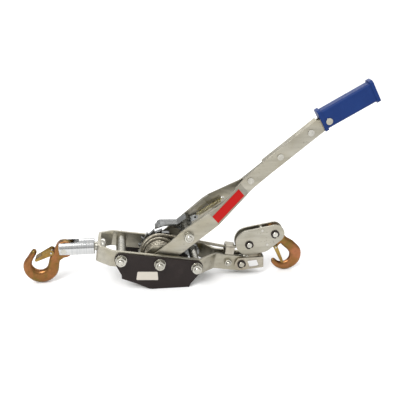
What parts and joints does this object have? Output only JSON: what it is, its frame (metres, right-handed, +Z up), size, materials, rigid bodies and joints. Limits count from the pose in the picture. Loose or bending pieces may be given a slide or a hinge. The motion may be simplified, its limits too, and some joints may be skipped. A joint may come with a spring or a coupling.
{
  "type": "come-along winch",
  "caption": "Hand-lever ratchet cable puller with a folded lever and blue grip, a wire-rope drum in an open frame, a swivel anchor hook and a pulley block with a load hook.",
  "frame": {"origin": "middle of the winch's footprint rectangle, on the floor that it stands on", "axes": "+X along the winch from the anchor hook to the load hook, +Y away from the side that carries the labels, +Z up"},
  "size_m": [0.5032, 0.0908, 0.2896],
  "materials": {
    "zinc_steel": "zinc plated, satin",
    "black_steel": "black coating, satin",
    "bolt_steel": "zinc plated",
    "wheel_steel": "bare hardened steel",
    "spring_steel": "yellow passivated wire",
    "bronze_steel": "brown zinc, satin",
    "latch_steel": "zinc plated sheet",
    "chrome": "polished",
    "yellow_zinc": "yellow passivated forging",
    "wire_rope": "galvanised strands",
    "blue_plastic": "moulded",
    "red_label": "blank sticker",
    "white_label": "blank sticker"
  },
  "bodies": {
    "frame": {"frame_strap": "zinc_steel", "side_plate_front": "black_steel", "side_plate_back": "black_steel", "side_label": "white_label", "frame_bolts": "bolt_steel", "drum_axle": "bolt_steel", "frame_nuts": "bolt_steel", "frame_washers": "bolt_steel", "spacer_tube": "bolt_steel", "stop_pawl_sleeve": "bolt_steel", "stop_spring": "spring_steel", "arm_spacers": "bolt_steel", "cable_guide": "bronze_steel", "guide_bolt": "bolt_steel", "guide_nut": "bolt_steel", "tail_pin": "bolt_steel", "tail_clips": "black_steel", "rope_socket": "bolt_steel", "rope_inner_run": "wire_rope", "rope_live_run": "wire_rope", "rope_dead_run": "wire_rope"},
    "swivel": {"swivel_barrel": "chrome", "swivel_stud": "bolt_steel", "swivel_pin": "bolt_steel"},
    "anchor_hook_body": {"anchor_hook": "yellow_zinc", "anchor_latch_rivet": "bolt_steel"},
    "anchor_latch_body": {"anchor_latch": "latch_steel"},
    "drum": {"drum_barrel": "zinc_steel", "drum_bush": "bolt_steel", "ratchet_wheel": "wheel_steel", "rope_first_layer": "wire_rope", "rope_second_layer": "wire_rope"},
    "handle": {"handle_front_bar": "zinc_steel", "handle_back_bar": "zinc_steel", "handle_rivets": "bolt_steel", "grip": "blue_plastic", "grip_rivet": "bolt_steel", "pawl_bolt": "bolt_steel", "pawl_nut": "bolt_steel", "pawl_washer": "bolt_steel", "drive_pawl_sleeve": "bolt_steel", "red_label": "red_label", "drive_spring": "spring_steel"},
    "drive_pawl_body": {"drive_pawl": "wheel_steel"},
    "stop_pawl_body": {"stop_pawl": "wheel_steel"},
    "tail_link_body": {"tail_link": "bronze_steel"},
    "block": {"block_plate_front": "zinc_steel", "block_plate_back": "zinc_steel", "block_spacers": "bolt_steel", "sheave_pin": "bolt_steel", "load_hook_pin": "bolt_steel", "block_clips": "black_steel", "rope_on_sheave": "wire_rope"},
    "sheave_body": {"sheave": "wheel_steel", "sheave_bush": "bolt_steel"},
    "load_hook_body": {"load_hook": "yellow_zinc", "load_latch_rivet": "bolt_steel"},
    "load_latch_body": {"load_latch": "latch_steel"}
  },
  "joints": [
    {"name": "barrel_swivel", "type": "hinge", "parent": "frame", "child": "swivel", "pos_m": [-0.17392, 0.00155, 0.0536], "axis": [1, 0, 0], "continuous": true},
    {"name": "anchor_hook_pivot", "type": "hinge", "parent": "swivel", "child": "anchor_hook_body", "pos_m": [-0.19252, 0.00155, 0.0522], "axis": [0, -1, 0], "range_deg": [-90, 60]},
    {"name": "anchor_latch_pivot", "type": "hinge", "parent": "anchor_hook_body", "child": "anchor_latch_body", "pos_m": [-0.21042, 0.00155, 0.0489], "axis": [0, -1, 0], "range_deg": [0, 28], "stiffness_Nm_per_rad": 0.03},
    {"name": "handle_pivot", "type": "hinge", "parent": "frame", "child": "handle", "pos_m": [-0.05892, 0.00155, 0.0397], "axis": [0, -1, 0], "range_deg": [0, 90]},
    {"name": "drive_pawl_pivot", "type": "hinge", "parent": "handle", "child": "drive_pawl_body", "pos_m": [-0.01699, 0.00155, 0.07451], "axis": [0, -1, 0], "range_deg": [-20, 6.5], "stiffness_Nm_per_rad": 0.4},
    {"name": "stop_pawl_pivot", "type": "hinge", "parent": "frame", "child": "stop_pawl_body", "pos_m": [-0.00665, 0.00155, 0.03095], "axis": [0, -1, 0], "range_deg": [-15, 16], "stiffness_Nm_per_rad": 0.1},
    {"name": "tail_link_pivot", "type": "hinge", "parent": "frame", "child": "tail_link_body", "pos_m": [0.06308, 0.00155, 0.01928], "axis": [0, -1, 0], "range_deg": [-60, 0]},
    {"name": "block_travel", "type": "slide", "parent": "frame", "child": "block", "axis": [1, 0, 0], "range_m": [0, 0.2375], "deforming": ["rope_live_run", "rope_dead_run"]},
    {"name": "drum_turn", "type": "hinge", "parent": "frame", "child": "drum", "pos_m": [-0.05892, 0.00155, 0.0397], "axis": [0, -1, 0], "range_deg": [-1215.5, 0.5]},
    {"name": "sheave_turn", "type": "hinge", "parent": "block", "child": "sheave_body", "pos_m": [0.07488, 0.00155, 0.0473], "axis": [0, -1, 0], "range_deg": [-960, 1]},
    {"name": "load_hook_pivot", "type": "hinge", "parent": "block", "child": "load_hook_body", "pos_m": [0.11298, 0.00155, 0.063], "axis": [0, -1, 0], "range_deg": [-6, 60]},
    {"name": "load_latch_pivot", "type": "hinge", "parent": "load_hook_body", "child": "load_latch_body", "pos_m": [0.11598, 0.00155, 0.0402], "axis": [0, -1, 0], "range_deg": [0, 22], "stiffness_Nm_per_rad": 0.03}
  ],
  "couplings": [
    {"joint": "drum_turn", "follows": "block_travel", "rad_per_m": -89.287},
    {"joint": "sheave_turn", "follows": "block_travel", "rad_per_m": -70.423}
  ]
}
